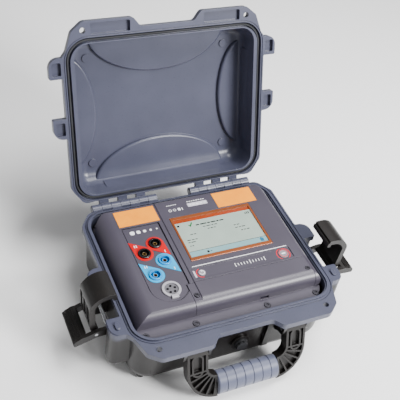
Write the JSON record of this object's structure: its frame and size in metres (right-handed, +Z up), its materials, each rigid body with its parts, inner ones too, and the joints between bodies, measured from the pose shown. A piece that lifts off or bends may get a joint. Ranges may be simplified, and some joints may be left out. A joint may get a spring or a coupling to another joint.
{
  "type": "insulation resistance tester",
  "caption": "Portable electrical tester panel with display and shrouded sockets, built into a hinged, latched carrying case with a folding handle.",
  "frame": {"origin": "on the ground plane under the middle of the base, on the standing cross moulded into its underside", "axes": "+X to the right as the user faces the panel, +Y to the hinge at the back, +Z up"},
  "size_m": [0.3939, 0.4034, 0.3199],
  "materials": {
    "case_plastic": "moulded, fine texture",
    "foot_rubber": "matt",
    "panel_plastic": "satin moulded",
    "steel_screw": "dark plated",
    "accent_orange": "printed film",
    "label_red": "printed film",
    "label_blue": "printed film",
    "socket_black": "gloss",
    "socket_blue": "gloss",
    "brass": "turned",
    "collar_grey": "satin",
    "insert_black": "satin",
    "bezel_copper": "satin print",
    "lens": "clear, flat",
    "display_metal": "rolled",
    "key_grey": "satin",
    "board": "solder resist",
    "transformer": "varnished laminations",
    "capacitor": "sleeved can",
    "holder_black": "moulded",
    "cells": "shrink film",
    "valve_black": "moulded",
    "gasket": "foamed",
    "handle_black": "moulded",
    "grip_rubber": "soft overmould",
    "pin_steel": "ground",
    "latch_black": "moulded"
  },
  "bodies": {
    "base": {"accent_left": "accent_orange", "accent_right": "accent_orange", "aux_connector_insert": "insert_black", "aux_connector_shell": "collar_grey", "base_shell": "case_plastic", "battery_cells": "cells", "battery_cover": "panel_plastic", "battery_holder": "holder_black", "capacitor_1": "capacitor", "capacitor_2": "capacitor", "capacitor_3": "capacitor", "contact_current_1": "brass", "contact_current_2": "brass", "contact_voltage_1": "brass", "contact_voltage_2": "brass", "cover_screw_left": "steel_screw", "cover_screw_right": "steel_screw", "current_label": "label_red", "display_bezel": "bezel_copper", "display_board": "board", "display_module": "display_metal", "foot_1": "foot_rubber", "foot_2": "foot_rubber", "foot_3": "foot_rubber", "foot_4": "foot_rubber", "front_panel": "panel_plastic", "handle_pin_left": "pin_steel", "handle_pin_right": "pin_steel", "hinge_pin_left": "pin_steel", "hinge_pin_right": "pin_steel", "latch_pin_left": "pin_steel", "latch_pin_right": "pin_steel", "main_board": "board", "panel_screw_1": "steel_screw", "panel_screw_2": "steel_screw", "panel_screw_3": "steel_screw", "panel_screw_4": "steel_screw", "socket_current_1": "socket_black", "socket_current_2": "socket_black", "socket_voltage_1": "socket_blue", "socket_voltage_2": "socket_blue", "touch_lens": "lens", "transformer": "transformer", "vent_valve": "valve_black", "voltage_label": "label_blue"},
    "lid": {"lid_shell": "case_plastic", "lid_gasket": "gasket"},
    "handle": {"handle_frame": "handle_black", "handle_grip": "grip_rubber"},
    "lever_left": {"latch_lever_left": "latch_black", "claw_pin_left": "pin_steel"},
    "claw_left": {"latch_claw_left": "latch_black"},
    "lever_right": {"latch_lever_right": "latch_black", "claw_pin_right": "pin_steel"},
    "claw_right": {"latch_claw_right": "latch_black"},
    "power_key": {"power_key": "key_grey"},
    "start_key": {"start_key": "key_grey"},
    "aux_release": {"aux_release_tab": "collar_grey"},
    "vent_knob": {"vent_knob": "valve_black"}
  },
  "joints": [
    {"name": "lid_hinge", "type": "hinge", "parent": "base", "child": "lid", "pos_m": [0, 0.129, 0.0846], "axis": [1, 0, 0], "range_deg": [0, 110]},
    {"name": "handle_pivot", "type": "hinge", "parent": "base", "child": "handle", "pos_m": [0, -0.118, 0.073], "axis": [1, 0, 0], "range_deg": [-80, 0]},
    {"name": "power_key_press", "type": "slide", "parent": "base", "child": "power_key", "axis": [0, 0, -1], "range_m": [0, 0.0008], "stiffness_N_per_m": 300},
    {"name": "start_key_press", "type": "slide", "parent": "base", "child": "start_key", "axis": [0, 0, -1], "range_m": [0, 0.0008], "stiffness_N_per_m": 300},
    {"name": "aux_release_press", "type": "slide", "parent": "base", "child": "aux_release", "axis": [0, 0, -1], "range_m": [0, 0.001], "stiffness_N_per_m": 300},
    {"name": "vent_knob_turn", "type": "hinge", "parent": "base", "child": "vent_knob", "pos_m": [0.004, -0.11, 0.044], "axis": [0, -1, 0], "range_deg": [0, 180]},
    {"name": "latch_lever_left", "type": "hinge", "parent": "base", "child": "lever_left", "pos_m": [-0.151, 0, 0.064], "axis": [0, 1, 0], "range_deg": [-65, 25]},
    {"name": "latch_claw_left", "type": "hinge", "parent": "lever_left", "child": "claw_left", "pos_m": [-0.16804, 0, 0.06268], "axis": [0, 1, 0], "range_deg": [-25.51, 66.31]},
    {"name": "latch_lever_right", "type": "hinge", "parent": "base", "child": "lever_right", "pos_m": [0.151, 0, 0.064], "axis": [0, -1, 0], "range_deg": [-80, 10]},
    {"name": "latch_claw_right", "type": "hinge", "parent": "lever_right", "child": "claw_right", "pos_m": [0.1678, 0, 0.06713], "axis": [0, -1, 0], "range_deg": [-10.21, 81.61]}
  ],
  "couplings": [
    {"joint": "latch_claw_left", "follows": "latch_lever_left", "ratio": -1.02},
    {"joint": "latch_claw_right", "follows": "latch_lever_right", "ratio": -1.02}
  ]
}
